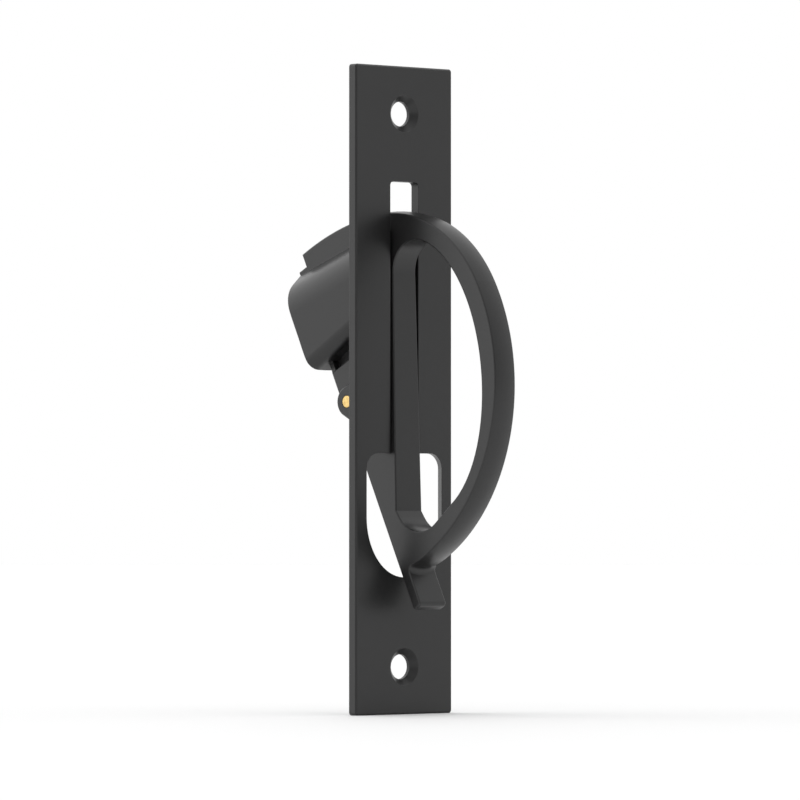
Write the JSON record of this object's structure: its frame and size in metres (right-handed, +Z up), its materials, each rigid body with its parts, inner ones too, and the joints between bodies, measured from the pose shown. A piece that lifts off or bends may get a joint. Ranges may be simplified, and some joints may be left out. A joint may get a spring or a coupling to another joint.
{
  "type": "swinging edge pull",
  "caption": "Slotted face plate with a swinging D-loop pull on a pivot pin; a finger scoop swings behind the plate when the loop is out.",
  "frame": {"origin": "centre of the face plate's back, midway between the two screw holes, in the plane that seats in the door edge", "axes": "+Z up along the plate, +Y back into the door, +X along the pivot pin to the right as seen from the front"},
  "size_m": [0.025, 0.056, 0.125],
  "materials": {
    "matt_black": "matt black baked coat on die-cast metal",
    "bare_brass": "bare turned brass"
  },
  "bodies": {
    "plate": {"face_plate": "matt_black", "pivot_pin": "bare_brass"},
    "handle": {"swing_handle": "matt_black"}
  },
  "joints": [
    {"name": "handle_swing", "type": "hinge", "parent": "plate", "child": "handle", "pos_m": [0, 0.0045, -0.00225], "axis": [-1, 0, 0], "range_deg": [0, 153]}
  ]
}
